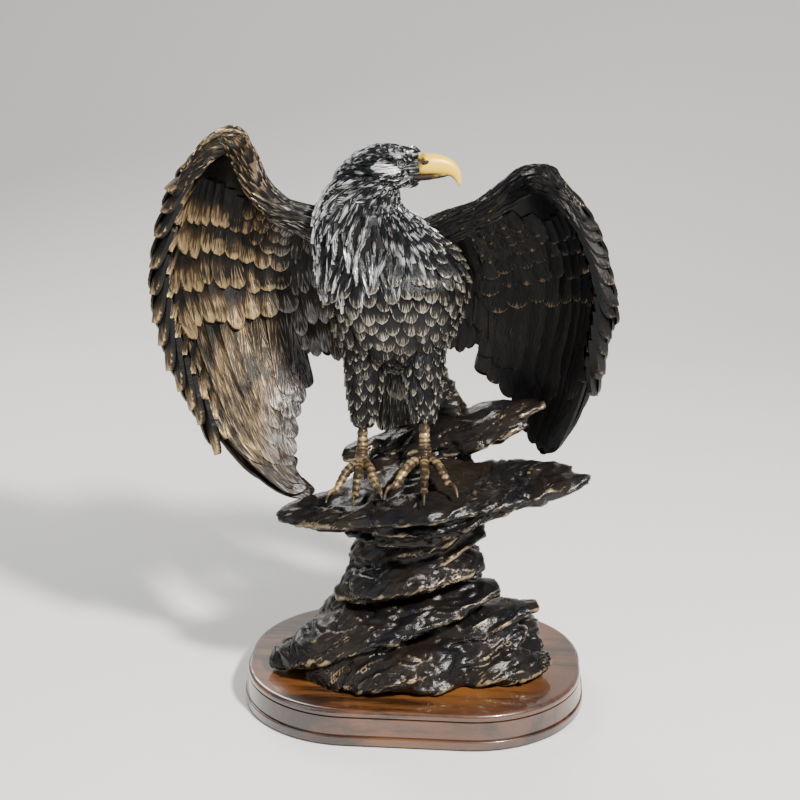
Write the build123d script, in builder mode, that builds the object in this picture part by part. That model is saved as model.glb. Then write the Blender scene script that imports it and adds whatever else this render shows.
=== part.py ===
from build123d import *
import os

# A cast bronze eagle with raised, cupped wings. It stands on a layered rock that is bolted to an oval
# wooden plinth. Every casting is a separate piece that seats on its neighbour, face to face.
# Millimetres, +Z up. The origin is the centre of the resting face, +X runs along the plinth and the
# eagle's breast faces -Y. Left and right are the eagle's own, so the right wing is on the -X side.

os.makedirs("parts", exist_ok=True)

# Plinth
plinth_length = 210.0
plinth_width = 155.0
plinth_corner = 70.0
plinth_height = 21.0
foot_height = 5.0  # the moulding at the bottom edge
foot_step = 2.0  # how far the deck stands inside the foot
groove_height = 1.0
groove_depth = 1.6
deck_height = 4.0
deck_round = 2.4
felt_thickness = 1.5
felt_inset = 5.0

# Fixings
screw_diameter = 6.0
screw_head_diameter = 11.0
screw_head_height = 4.0
screw_head_round = 1.0
screw_reach = 12.0  # how far a screw goes into its insert
socket_depth = 2.2
socket_width = 4.0
washer_diameter = 15.0
washer_thickness = 1.5
counterbore_depth = 9.0
insert_wall = 1.5
insert_length = 14.0
boss_wall = 3.5
pitch_radius = 32.0  # the screws stand on this circle
screw_count = 3
clearance = 0.08  # all round a screw's shank
washer_gap = 0.4  # all round a washer, in its counterbore
dowel_diameter = 5.0
dowel_length = 20.0
rod_diameter = 4.0  # the steel rod down each leg

# Rock
mound_length = 172.0
mound_width = 92.0
mound_height = 62.0
mound_wall = 5.0
neck_length = 84.0
neck_width = 68.0
neck_height = 40.0
neck_wall = 7.0
ledge_rise = 23.5  # from the top of the neck to the crest under the feet
ledge_wall = 6.0

# Eagle
chest_width = 86.0
chest_depth = 74.0
body_wall = 5.0
spigot_length = 8.0
spigot_radius = 10.0
eye_radius = 2.3
shank_radius = 3.5
toe_radius = 2.6
wing_thickness = 6.0
wing_edge = 2.5

# Heights that the rest is stacked on
deck = felt_thickness + plinth_height
mound_top = deck + mound_height
neck_top = mound_top + neck_height
perch = neck_top + ledge_rise


def oval(plane, half_width, half_depth):
    """An elliptical section in the middle of a plane."""
    with BuildSketch(plane) as section:
        Ellipse(half_width, half_depth)
    return section.sketch


def facet(plane, points):
    """A straight-sided section, for rock."""
    with BuildSketch(plane) as section:
        with BuildLine():
            Polyline(*points, close=True)
        make_face()
    return section.sketch


def level(rise):
    """A level plane at a height above the perch."""
    return Plane.XY.offset(perch + rise)


def stack(rows):
    """Level ovals from rows of height above the perch, middle X, middle Y, half width and half depth."""
    return [oval(Plane((x, y, perch + rise)), width, depth) for rise, x, y, width, depth in rows]


def tube(rows):
    """Round sections from rows of X, Y, height above the perch and radius, each square to the run."""
    points = [Vector(x, y, perch + rise) for x, y, rise, _ in rows]
    sections = []
    for index, row in enumerate(rows):
        ahead = points[min(index + 1, len(points) - 1)] - points[max(index - 1, 0)]
        sections.append(oval(Plane(points[index], z_dir=ahead), row[3], row[3]))
    return sections


def finish(piece, label):
    piece.label = label
    export_step(piece, f"parts/{label}.step")
    print(label, "solids", len(piece.solids()), "volume", round(piece.volume))


# The felt that the whole piece rests on
with BuildPart() as felt_pad:
    with BuildSketch():
        RectangleRounded(
            plinth_length - 2 * felt_inset, plinth_width - 2 * felt_inset, plinth_corner - felt_inset
        )
    extrude(amount=felt_thickness)
finish(felt_pad.part, "felt_pad")

# Fixings under the plinth: pan-head socket screws on plain washers, in brass inserts in the mound
screw_places = PolarLocations(pitch_radius, screw_count, start_angle=90).locations
screw_points = [(place.position.X, place.position.Y) for place in screw_places]
shoulder = felt_thickness + counterbore_depth  # the washers press up on this
head_seat = shoulder - washer_thickness
insert_radius = screw_diameter / 2 + insert_wall
rise_up = (Align.CENTER, Align.CENTER, Align.MIN)
hang_down = (Align.CENTER, Align.CENTER, Align.MAX)


def plinth_outline(height, grow):
    """The plinth's outline at a height, grown or shrunk all round."""
    with BuildSketch(Plane.XY.offset(height)) as section:
        RectangleRounded(plinth_length + 2 * grow, plinth_width + 2 * grow, plinth_corner + grow)
    return section.sketch


# The plinth: a foot moulding, a quirk, a tapered band, a second quirk and a rounded deck
band_base = felt_thickness + foot_height + groove_height
band_top = deck - deck_height - groove_height
with BuildPart() as plinth:
    extrude(plinth_outline(felt_thickness, 0), amount=foot_height)
    fillet(plinth.edges().group_by(Axis.Z)[-1], radius=foot_step * 0.45)
    extrude(plinth_outline(felt_thickness + foot_height, -groove_depth), amount=groove_height)
    loft(sections=[plinth_outline(band_base, -foot_step / 2), plinth_outline(band_top, -foot_step)])
    extrude(plinth_outline(band_top, -foot_step - groove_depth), amount=groove_height)
    extrude(plinth_outline(deck - deck_height, -foot_step), amount=deck_height)
    fillet(plinth.edges().group_by(Axis.Z)[-1], radius=deck_round)
    with Locations([(x, y, felt_thickness) for x, y in screw_points]):
        Cylinder(washer_diameter / 2 + washer_gap, counterbore_depth, align=rise_up, mode=Mode.SUBTRACT)
        Cylinder(screw_diameter / 2 + clearance, plinth_height, align=rise_up, mode=Mode.SUBTRACT)
finish(plinth.part, "plinth")

with BuildPart() as plinth_washers:
    with Locations([(x, y, shoulder) for x, y in screw_points]):
        Cylinder(washer_diameter / 2, washer_thickness, align=hang_down)
        Cylinder(screw_diameter / 2 + clearance, washer_thickness, align=hang_down, mode=Mode.SUBTRACT)
finish(plinth_washers.part, "plinth_washers")

with BuildPart() as plinth_screws:
    with Locations([(x, y, head_seat) for x, y in screw_points]):
        Cylinder(screw_diameter / 2, deck + screw_reach - head_seat, align=rise_up)
        Cylinder(screw_head_diameter / 2, screw_head_height, align=hang_down)
    fillet(plinth_screws.edges().group_by(Axis.Z)[0], radius=screw_head_round)
    with BuildSketch(Plane.XY.offset(head_seat - screw_head_height)):
        with Locations(screw_points):
            RegularPolygon(socket_width / 2, 6, major_radius=False)
    extrude(amount=socket_depth, mode=Mode.SUBTRACT)
finish(plinth_screws.part, "plinth_screws")

with BuildPart() as rock_inserts:
    with Locations([(x, y, deck) for x, y in screw_points]):
        Cylinder(insert_radius, insert_length, align=rise_up)
        Cylinder(screw_diameter / 2 + clearance, insert_length, align=rise_up, mode=Mode.SUBTRACT)
finish(rock_inserts.part, "rock_inserts")

# The dowels that hold the rock castings together: two under the neck and two over it
dowel_reach = neck_length / 4
seam_points = [(x, 0, height) for height in (mound_top, neck_top) for x in (-dowel_reach, dowel_reach)]
with BuildPart() as rock_dowels:
    with Locations(seam_points):
        Cylinder(dowel_diameter / 2, dowel_length)
finish(rock_dowels.part, "rock_dowels")

# Where each leg runs, from the middle of the foot to the hip, with its toe tips after it, and where each
# wing's arm runs, with its radius: X, Y and height from the perch
leg_points = {
    "right": ((-29, -28, 10), (-28, -8, 84), [(-43, -52, -2), (-30, -58, -3), (-17, -52, 1), (-30, -12, 5)]),
    "left": ((8, -29, 14), (5, -8, 84), [(-9, -56, 3), (10, -62, 2), (25, -53, 4), (9, -12, 10)]),
}
arm_rows = {
    "right": [
        (-36, 6, 133, 12),
        (-62, 6, 145, 9.5),
        (-78, 4, 152, 8.5),
        (-90, 1, 166, 7.8),
        (-97, -9, 185, 8),
        (-105, -19, 195, 7.5),
        (-118, -27, 186, 6),
        (-133, -32, 166, 4),
    ],
    "left": [
        (-4, 6, 132, 11),
        (18, 6, 143, 9.5),
        (38, 4, 152, 8.5),
        (53, -1, 165, 8),
        (64, -10, 175, 8),
        (75, -19, 174, 7.5),
        (88, -28, 161, 6),
        (99, -32, 145, 4),
    ],
}
to_perch = Vector(0, 0, perch)


def pin(start, end, diameter, overrun):
    """A round pin from overrun before its start up to its end."""
    run = end - start
    with BuildPart(Plane(start - run.normalized() * overrun, z_dir=run)) as piece:
        Cylinder(diameter / 2, run.length + overrun, align=rise_up)
    return piece.part


leg_rods = {}
wing_dowels = {}
for side in ("right", "left"):
    sole, hip = [Vector(*point) + to_perch for point in leg_points[side][:2]]
    leg_rods[side] = pin(sole, sole + (hip - sole) * 0.9, rod_diameter, dowel_length / 2)
    finish(leg_rods[side], f"{side}_leg_rod")
    shoulder_joint, elbow = [Vector(*row[:3]) + to_perch for row in arm_rows[side][:2]]
    inner_end = elbow + (shoulder_joint - elbow).normalized() * dowel_length
    wing_dowels[side] = pin(elbow, inner_end, dowel_diameter, 0)
    finish(wing_dowels[side], f"{side}_wing_dowel")

# The ledge that the eagle stands on, as straight-sided sections along X. Each row is the section's X,
# then its corners as Y and height from the perch.
ledge_rows = [
    (-78, [(-47, -22), (-45, -19), (-35, -17), (-24, -18), (-23, -22), (-36, -25)]),
    (-56, [(-57, -24), (-58, -17), (-36, -14), (0, -10), (8, -16), (-20, -29)]),
    (-38, [(-60, -20), (-63, -8), (-40, -2), (10, 6), (18, -8), (-25, -34)]),
    (12, [(-60, -22), (-70, -2), (-45, 5), (18, 15), (26, -3), (-22, -35)]),
    (50, [(-48, -13), (-56, -3), (-38, 3), (6, 6), (14, -6), (-20, -25)]),
    (80, [(-42, -4), (-46, 1), (-35, 5), (-12, 8), (-8, 0), (-25, -10)]),
    (103, [(-38, 1), (-38, 4), (-32, 6), (-24, 6), (-23, 2), (-30, -1)]),
]
ledge_facets = [facet(Plane.YZ.offset(x), [(y, perch + rise) for y, rise in row]) for x, row in ledge_rows]
with BuildPart() as ledge_form:
    loft(sections=ledge_facets, ruled=True)

with BuildPart() as perch_ledge:
    add(ledge_form.part)
    loft(
        sections=[
            offset(section, -ledge_wall, kind=Kind.INTERSECTION, mode=Mode.PRIVATE)
            for section in ledge_facets[2:5]
        ],
        ruled=True,
        mode=Mode.SUBTRACT,
    )
    for cutter in (rock_dowels.part, leg_rods["right"], leg_rods["left"]):
        add(cutter, mode=Mode.SUBTRACT)
finish(perch_ledge.part, "perch_ledge")

# The slab that rises behind the left leg, and the crag on it
rear_rows = [
    (-15, [(4, 0), (8, 18), (26, 20), (30, 0)]),
    (15, [(-5, 0), (2, 24), (24, 28), (32, 4)]),
    (45, [(-9, 12), (-4, 30), (12, 38), (22, 18)]),
    (76, [(-3, 35), (-2, 39), (6, 42), (8, 37)]),
]
with BuildPart() as rear_ledge:
    loft(
        sections=[facet(Plane.YZ.offset(x), [(y, perch + rise) for y, rise in row]) for x, row in rear_rows],
        ruled=True,
    )
    add(ledge_form.part, mode=Mode.SUBTRACT)

crag_shares = [(-1, -0.5), (-0.2, -1), (0.9, -0.7), (1, 0.4), (0.2, 1), (-0.8, 0.7)]
crag_rows = [(19, 11, 20, 19, 10), (38, 10, 22, 15, 10), (60, 7, 24, 9, 6)]
with BuildPart() as rear_crag:
    loft(
        sections=[
            facet(level(rise), [(x + half * u, y + depth * v) for u, v in crag_shares])
            for rise, x, y, half, depth in crag_rows
        ],
        ruled=True,
    )
    add(ledge_form.part, mode=Mode.SUBTRACT)
    add(rear_ledge.part, mode=Mode.SUBTRACT)

# The neck under the ledge, hollow from below
neck_shares = [(-1, -0.2), (-0.55, -1), (0.6, -1.05), (1, -0.2), (0.7, 0.85), (-0.5, 1)]
neck_rows = [
    (mound_top, 1.0, 1.0),
    (mound_top + neck_height * 0.45, 0.92, 0.86),
    (neck_top, 1.04, 1.0),
    (neck_top + ledge_rise * 0.7, 0.95, 0.74),
]


def neck_outline(height, along, across, wall):
    half, depth = neck_length / 2 * along - wall, neck_width / 2 * across - wall
    return facet(Plane.XY.offset(height), [(half * u - 2, depth * v) for u, v in neck_shares])


with BuildPart() as rock_neck:
    loft(sections=[neck_outline(*row, 0) for row in neck_rows], ruled=True)
    loft(
        sections=[
            neck_outline(mound_top, 0.5, 1, neck_wall),
            neck_outline(neck_top - 2 * neck_wall, 0.4, 0.8, neck_wall),
        ],
        ruled=True,
        mode=Mode.SUBTRACT,
    )
    add(ledge_form.part, mode=Mode.SUBTRACT)
    add(rock_dowels.part, mode=Mode.SUBTRACT)
finish(rock_neck.part, "rock_neck")

# The mound: hollow from below, with a boss down from the roof round each insert
mound_front = [(-1, 0.1), (-0.72, -0.72), (-0.1, -1), (0.6, -0.86)]
mound_shares = mound_front + [(1, -0.1), (0.7, 0.75), (0, 1), (-0.7, 0.78)]
mound_rows = [(0, 1.0, 1.0), (0.4, 0.84, 0.93), (0.72, 0.68, 0.87), (1, 0.54, 0.8)]


def mound_outline(share, along, across, wall, drop=0):
    half, depth = mound_length / 2 * along - wall, mound_width / 2 * across - wall
    plane = Plane.XY.offset(deck + mound_height * share - drop)
    return facet(plane, [(1 + half * u, depth * v - 2) for u, v in mound_shares])


with BuildPart() as mound_core:
    loft(
        sections=[mound_outline(*row, mound_wall, mound_wall * row[0]) for row in mound_rows],
        ruled=True,
    )
    with Locations([(x, y, deck) for x, y in screw_points]):
        Cylinder(insert_radius + boss_wall, mound_height, align=rise_up, mode=Mode.SUBTRACT)

with BuildPart() as rock_mound:
    loft(sections=[mound_outline(*row, 0) for row in mound_rows], ruled=True)
    add(mound_core.part, mode=Mode.SUBTRACT)
    with Locations([(x, y, deck) for x, y in screw_points]):
        Cylinder(insert_radius, insert_length, align=rise_up, mode=Mode.SUBTRACT)
        Cylinder(screw_diameter / 2 + clearance, screw_reach, align=rise_up, mode=Mode.SUBTRACT)
    add(rock_dowels.part, mode=Mode.SUBTRACT)
finish(rock_mound.part, "rock_mound")

# The torso: ovals stacked from the vent to the root of the neck, hollow, and open at the neck
torso_rows = [
    (60, -11, 8, 0.36, 0.38),
    (72, -12, 2, 0.64, 0.7),
    (90, -12, -3, 0.84, 0.88),
    (114, -12, -6, 1.0, 1.0),
    (137, -18, -3, 0.92, 0.9),
    (152, -31, -1, 0.62, 0.7),
]


def torso_ovals(rows, wall):
    half, depth = chest_width / 2, chest_depth / 2
    return stack([(rise, x, y, half * u - wall, depth * v - wall) for rise, x, y, u, v in rows])


neck_seat = torso_rows[-1][0]
neck_x, neck_y, neck_u, neck_v = torso_rows[-1][1:]
with BuildPart() as torso_form:
    loft(sections=torso_ovals(torso_rows, 0))

with BuildPart() as torso:
    add(torso_form.part)
    loft(sections=torso_ovals(torso_rows[1:5], body_wall), mode=Mode.SUBTRACT)
    with Locations((neck_x, neck_y, perch + neck_seat)):
        Cylinder(spigot_radius, 2.5 * spigot_length, align=hang_down, mode=Mode.SUBTRACT)
    for cutter in (*leg_rods.values(), *wing_dowels.values()):
        add(cutter, mode=Mode.SUBTRACT)
finish(torso.part, "torso")

# The head and neck, with a spigot down into the torso. The face looks along +X.
head_rows = [
    (neck_seat + 10, -31, -4, 22, 21),
    (neck_seat + 20, -27, -8, 19, 18),
    (neck_seat + 30, -16, -11, 18, 14),
    (neck_seat + 38, -13, -11, 12, 8),
]
neck_oval = (neck_seat, neck_x, neck_y, chest_width / 2 * neck_u, chest_depth / 2 * neck_v)
face_y = head_rows[2][2]
face_rise = head_rows[2][0]
beak_root = head_rows[2][1] + head_rows[2][3]
eye_back, eye_reach, eye_lift = 8.4, 10.6, 1.8  # from the beak's root, the face's middle plane and its height


def beak(rows):
    """Ovals along the beak from rows of X, rise, half width, half height and how far the beak dips."""
    sections = []
    for reach, rise, width, height, dip in rows:
        middle = (beak_root + reach, face_y, perch + face_rise + rise)
        plane = Plane(middle, x_dir=(0, 1, 0), z_dir=(1, 0, dip))
        sections.append(oval(plane, width, height))
    return sections


eyes = {}
for side, away in (("right", -1), ("left", 1)):
    with BuildPart() as eye:
        with Locations((beak_root - eye_back, face_y + away * eye_reach, perch + face_rise + eye_lift)):
            Sphere(eye_radius)
    eyes[side] = eye.part
    finish(eye.part, f"{side}_eye")

with BuildPart() as head:
    loft(sections=stack([neck_oval] + head_rows))
    with Locations((neck_x, neck_y, perch + neck_seat)):
        Cylinder(spigot_radius, spigot_length, align=hang_down)
    for eye in eyes.values():
        add(eye, mode=Mode.SUBTRACT)
finish(head.part, "head")

# Each row is how far the section stands in front of the head, its rise, half width, half height and dip
upper_rows = [
    (-7, 0, 7.5, 6.4, 0),
    (7, 0, 5.4, 6, -0.1),
    (15, -2, 3.6, 5, -0.6),
    (21, -7, 2, 3, -1.6),
    (23, -12, 0.8, 1, -4),
]
lower_rows = [(-8, -6, 5.5, 3.2, 0), (6, -7, 4, 2.8, 0), (14, -8, 2, 1.6, 0)]
with BuildPart() as upper_beak:
    loft(sections=beak(upper_rows))
    add(head.part, mode=Mode.SUBTRACT)
finish(upper_beak.part, "upper_beak")

with BuildPart() as lower_beak:
    loft(sections=beak(lower_rows))
    add(head.part, mode=Mode.SUBTRACT)
    add(upper_beak.part, mode=Mode.SUBTRACT)
finish(lower_beak.part, "lower_beak")

# Legs: a feathered thigh, then a bare shank on three forward toes and a hind toe. Each row is a share of
# the way from the knee to the hip, and the thigh's radius there.
knee_share = 0.33  # how far up the leg the feathers end
thigh_rows = [(0, shank_radius + 3), (0.2, 9.5), (0.6, 11.5), (1, 13)]
for side, (sole, hip, toes) in leg_points.items():
    sole, hip = Vector(*sole), Vector(*hip)
    run = hip - sole
    knee = sole + run * knee_share

    with BuildPart() as leg:
        loft(
            sections=[
                oval(Plane(knee + (hip - knee) * share + to_perch, z_dir=run), size, size)
                for share, size in thigh_rows
            ]
        )
        add(torso_form.part, mode=Mode.SUBTRACT)
        add(leg_rods[side], mode=Mode.SUBTRACT)
    finish(leg.part, f"{side}_leg")

    with BuildPart() as foot:
        loft(
            sections=[
                oval(Plane(knee + to_perch, z_dir=run), shank_radius, shank_radius),
                oval(Plane(sole + to_perch, z_dir=run), shank_radius * 1.15, shank_radius * 1.15),
            ]
        )
        with Locations(sole + to_perch):
            Sphere(shank_radius * 1.5)
        for toe in toes:
            tip = Vector(*toe)
            knuckle = (sole + tip) * 0.5 + Vector(0, 0, toe_radius * 1.4)
            rows = [(*sole, toe_radius * 1.1), (*knuckle, toe_radius * 1.15), (*tip, toe_radius * 0.4)]
            loft(sections=tube(rows))
        add(ledge_form.part, mode=Mode.SUBTRACT)
        add(rear_ledge.part, mode=Mode.SUBTRACT)
        add(leg_rods[side], mode=Mode.SUBTRACT)
    finish(foot.part, f"{side}_foot")

# The tail, a thin fan down behind the legs
tail_rows = [(80, -11, 14, 15, 14), (52, -10, 29, 18, 9), (24, -9, 37, 21, 6), (4, -8, 42, 16, 3)]
with BuildPart() as tail:
    loft(
        sections=[
            oval(Plane((x, y, perch + rise), x_dir=(1, 0, 0), z_dir=(0, 0.3, -1)), half, thickness / 2)
            for rise, x, y, half, thickness in tail_rows
        ]
    )
    add(torso_form.part, mode=Mode.SUBTRACT)
    add(rear_ledge.part, mode=Mode.SUBTRACT)
    add(rear_crag.part, mode=Mode.SUBTRACT)
finish(tail.part, "tail")
finish(rear_ledge.part, "rear_ledge")
finish(rear_crag.part, "rear_crag")

# Wings. The arm runs from the shoulder up to the wrist and over it. Below it hangs one cupped sheet of
# feathers, given as level slices: height from the perch, then X and Y of the leading edge, the middle
# and the trailing edge. The coverts' lower edge parts it into the short feathers and the long quills.
wing_rows = {
    "right": [
        (188, (-114, -22), (-109, -1), (-97, 1)),
        (168, (-132, -29), (-121, 5), (-86, 7)),
        (141, (-140, -33), (-123, 16), (-60, 22)),
        (108, (-143, -36), (-115, 24), (-42, 32)),
        (78, (-135, -38), (-106, 20), (-46, 30)),
        (47, (-122, -40), (-98, 5), (-66, 10)),
        (18, (-105, -40), (-88, -13), (-74, -10)),
        (-9, (-70, -36), (-62, -30), (-55, -28)),
    ],
    "left": [
        (158, (86, -22), (78, 1), (58, 5)),
        (146, (95, -30), (85, 12), (38, 19)),
        (114, (107, -33), (87, 25), (20, 32)),
        (88, (105, -30), (84, 28), (22, 34)),
        (62, (103, -18), (82, 30), (38, 37)),
        (40, (98, -6), (81, 27), (54, 34)),
        (18, (90, 6), (77, 24), (64, 28)),
        (4, (82, 16), (78, 20), (72, 22)),
    ],
}
covert_rise = {"right": 92, "left": 84}  # the height of the coverts' lower edge at the middle of the wing
covert_slope = {"right": 0.2, "left": 0.0}


def slice_of(rise, lead, middle, trail):
    """One level slice of the sheet: an arc behind, and an arc in front that bellies to full thickness."""
    lead, middle, trail = Vector(*lead), Vector(*middle), Vector(*trail)
    inward = ((lead + trail) * 0.5 - middle).normalized()
    inner_lead, inner_trail = [end + inward * wing_edge for end in (lead, trail)]
    with BuildSketch(level(rise)) as section:
        with BuildLine():
            ThreePointArc(lead, middle, trail)
            Line(trail, inner_trail)
            ThreePointArc(inner_trail, middle + inward * wing_thickness, inner_lead)
            Line(inner_lead, lead)
        make_face()
    return section.sketch


for side in ("right", "left"):
    with BuildPart() as wing_arm:
        loft(sections=tube(arm_rows[side]))
        add(torso_form.part, mode=Mode.SUBTRACT)
        add(head.part, mode=Mode.SUBTRACT)
        add(wing_dowels[side], mode=Mode.SUBTRACT)

    with BuildPart() as sheet:
        loft(sections=[slice_of(*row) for row in wing_rows[side]])
        add(wing_arm.part, mode=Mode.SUBTRACT)
        add(torso_form.part, mode=Mode.SUBTRACT)
        add(ledge_form.part, mode=Mode.SUBTRACT)
        add(rear_ledge.part, mode=Mode.SUBTRACT)

    middle_x = wing_rows[side][3][1][0]
    parting = Plane((middle_x, 0, perch + covert_rise[side]), z_dir=(-covert_slope[side], 0, 1))
    feathers = sheet.solids().sort_by(SortBy.VOLUME)[-1]  # without any shaving left beyond the arm
    with BuildPart() as wing_coverts:
        add(feathers)
        split(bisect_by=parting, keep=Keep.TOP)
    with BuildPart() as wing_quills:
        add(feathers)
        split(bisect_by=parting, keep=Keep.BOTTOM)

    finish(wing_arm.part, f"{side}_wing_arm")
    finish(wing_coverts.part, f"{side}_wing_coverts")
    finish(wing_quills.part, f"{side}_wing_quills")
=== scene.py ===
import math

import bpy
import numpy as np
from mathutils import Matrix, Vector, noise
from mathutils.bvhtree import BVHTree


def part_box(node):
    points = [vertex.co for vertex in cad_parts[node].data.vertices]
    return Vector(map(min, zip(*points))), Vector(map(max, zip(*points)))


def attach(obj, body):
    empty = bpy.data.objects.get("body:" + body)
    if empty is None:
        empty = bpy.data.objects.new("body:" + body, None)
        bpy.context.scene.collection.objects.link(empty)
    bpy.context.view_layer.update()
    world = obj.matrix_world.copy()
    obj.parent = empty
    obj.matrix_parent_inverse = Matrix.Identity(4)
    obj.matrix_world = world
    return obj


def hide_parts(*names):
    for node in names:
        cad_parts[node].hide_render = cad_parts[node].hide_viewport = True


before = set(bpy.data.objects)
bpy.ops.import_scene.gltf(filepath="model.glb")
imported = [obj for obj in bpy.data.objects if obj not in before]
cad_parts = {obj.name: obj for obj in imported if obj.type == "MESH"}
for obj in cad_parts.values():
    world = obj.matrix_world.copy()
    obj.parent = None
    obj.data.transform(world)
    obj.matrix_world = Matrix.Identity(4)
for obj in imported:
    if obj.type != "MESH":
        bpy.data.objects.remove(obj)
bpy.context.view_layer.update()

# The eagle statuette's looks. Lengths are in millimetres until a mesh is written. Heights of the eagle
# and its ledge are counted from the perch, the crest of rock under its feet.
mm = 0.001
perchAboveMound = 63.5
moundLow, moundHigh = [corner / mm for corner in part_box("rock_mound")]
perch = moundHigh.z + perchAboveMound
random = np.random.default_rng(11)


def unit(vectors):
    vectors = np.asarray(vectors, float)
    return vectors / np.maximum(np.linalg.norm(vectors, axis=-1, keepdims=True), 1e-9)


def smooth(low, high, value):
    share = np.clip((np.asarray(value, float) - low) / (high - low), 0, 1)
    return share * share * (3 - 2 * share)


def weights(share, count):  # how much each of count points counts on a smooth curve through them
    share = np.atleast_1d(np.asarray(share, float)) * (count - 1)
    first = np.clip(np.floor(share).astype(int), 0, count - 2)
    f = share - first
    basis = np.stack([-f + 2 * f**2 - f**3, 2 - 5 * f**2 + 3 * f**3, f + 4 * f**2 - 3 * f**3, f**3 - f**2], 1)
    basis = basis / 2
    table = np.zeros((len(share), count + 2))
    for step in range(4):
        table[np.arange(len(share)), first + step] += basis[:, step]
    table[:, 1] += 2 * table[:, 0]  # the curve's ends run straight on
    table[:, 2] -= table[:, 0]
    table[:, -2] += 2 * table[:, -1]
    table[:, -3] -= table[:, -1]
    return table[:, 1:-1]


def curve(points, shares):
    points = np.asarray(points, float)
    return weights(shares, len(points)) @ points


def between(pair, share):
    return pair[0] + (pair[1] - pair[0]) * share


def frames(path, up=(0, 0, 1)):  # heading, side and normal along a path
    heading = unit(np.gradient(path, axis=0))
    side = unit(np.cross(heading, up))
    return heading, side, np.cross(side, heading)


def tube(path, wide, thick, up=(0, 0, 1), around=20):
    path = np.asarray(path, float)
    _, side, normal = frames(path, up)
    angle = np.arange(around) * 2 * np.pi / around
    wide, thick = [np.broadcast_to(size, len(path))[:, None, None] for size in (wide, thick)]
    rings = path[:, None] + side[:, None] * np.cos(angle)[None, :, None] * wide
    rings = rings + normal[:, None] * np.sin(angle)[None, :, None] * thick
    return skinRings(rings)


def skinRings(rings):
    rows, around = rings.shape[:2]
    index = np.arange(rows * around).reshape(rows, around)
    turned = np.roll(index, -1, 1)
    quads = np.stack([index[:-1], turned[:-1], turned[1:], index[1:]], -1).reshape(-1, 4)
    return rings.reshape(-1, 3), [quads, index[:1, ::-1], index[-1:]]


def egg(centre, radii, turn=0.0, lean=0.0, around=20, rows=12):  # turned about Z, then leaned about Y
    angle = np.arange(around) * 2 * np.pi / around
    climb = np.linspace(0.04, np.pi - 0.04, rows)
    ring = np.stack([np.cos(angle), np.sin(angle)], 1)
    balls = [np.c_[ring * math.sin(c), np.full(around, -math.cos(c))] for c in climb]
    points = np.array(balls) * radii
    cosine, sine = math.cos(lean), math.sin(lean)
    points = points @ np.array([[cosine, 0, -sine], [0, 1, 0], [sine, 0, cosine]])
    cosine, sine = math.cos(turn), math.sin(turn)
    points = points @ np.array([[cosine, sine, 0], [-sine, cosine, 0], [0, 0, 1]])
    return skinRings(points + np.asarray(centre, float))


class Casting:  # gathers the shells of one piece, with the values that its material reads
    channels = ("wear", "along", "across", "tone")

    def __init__(self, name):
        self.name = name
        self.points, self.loops, self.sizes = [], [], []
        self.values = {channel: [] for channel in self.channels}
        self.count = 0

    def add(self, points, faces, **values):
        for face in faces:
            self.loops.append(np.asarray(face).ravel() + self.count)
            self.sizes.append(np.full(len(face), np.shape(face)[1]))
        self.points.append(points)
        for channel in self.channels:
            value = values.get(channel, 0.5 if channel == "tone" else 0.0)
            self.values[channel].append(np.broadcast_to(value, len(points)))
        self.count += len(points)

    def mesh(self):
        mesh = bpy.data.meshes.new(self.name)
        points, loops, sizes = [np.concatenate(rows) for rows in (self.points, self.loops, self.sizes)]
        mesh.vertices.add(len(points))
        mesh.vertices.foreach_set("co", (points * mm).astype(np.float32).ravel())
        mesh.loops.add(len(loops))
        mesh.loops.foreach_set("vertex_index", loops.astype(np.int32))
        mesh.polygons.add(len(sizes))
        mesh.polygons.foreach_set("loop_start", (np.cumsum(sizes) - sizes).astype(np.int32))
        mesh.update(calc_edges=True)
        for channel, lists in self.values.items():
            layer = mesh.attributes.new(channel, "FLOAT", "POINT")
            layer.data.foreach_set("value", np.concatenate(lists).astype(np.float32))
        mesh.validate()
        return mesh

    def place(self, material, slot, *nodes, crease=48):
        mesh = self.mesh()
        mesh.polygons.foreach_set("use_smooth", np.ones(len(mesh.polygons), bool))
        mesh.set_sharp_from_angle(angle=math.radians(crease))
        mesh.materials.append(material)
        piece = bpy.data.objects.new(self.name, mesh)
        bpy.context.scene.collection.objects.link(piece)
        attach(piece, "root")
        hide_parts(*nodes)
        print(self.name, len(mesh.polygons), "faces")
        return piece


def fuse(shells, voxel, rounds=3):  # joins closed shells into one even skin, as points and faces
    lump = Casting("lump")
    for points, faces in shells:
        lump.add(points, faces)
    solid = bpy.data.objects.new("lump", lump.mesh())
    bpy.context.scene.collection.objects.link(solid)
    remesh = solid.modifiers.new("remesh", "REMESH")
    remesh.mode, remesh.voxel_size = "VOXEL", voxel * mm
    relax = solid.modifiers.new("relax", "SMOOTH")
    relax.iterations, relax.factor = rounds, 0.5
    skin = solid.evaluated_get(bpy.context.evaluated_depsgraph_get()).to_mesh()
    points = np.zeros(len(skin.vertices) * 3, np.float32)
    skin.vertices.foreach_get("co", points)
    corners = [tuple(face.vertices) for face in skin.polygons]
    points = points.reshape(-1, 3).astype(float) / mm
    bpy.data.objects.remove(solid)
    quads = np.array([face for face in corners if len(face) == 4])
    others = [np.array([face]) for face in corners if len(face) != 4]
    return points, [quads] + others


def pointNormals(points, quads):
    across = np.cross(points[quads[:, 2]] - points[quads[:, 0]], points[quads[:, 3]] - points[quads[:, 1]])
    normals = np.zeros_like(points)
    for corner in range(4):
        np.add.at(normals, quads[:, corner], across)
    return unit(normals)


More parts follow.
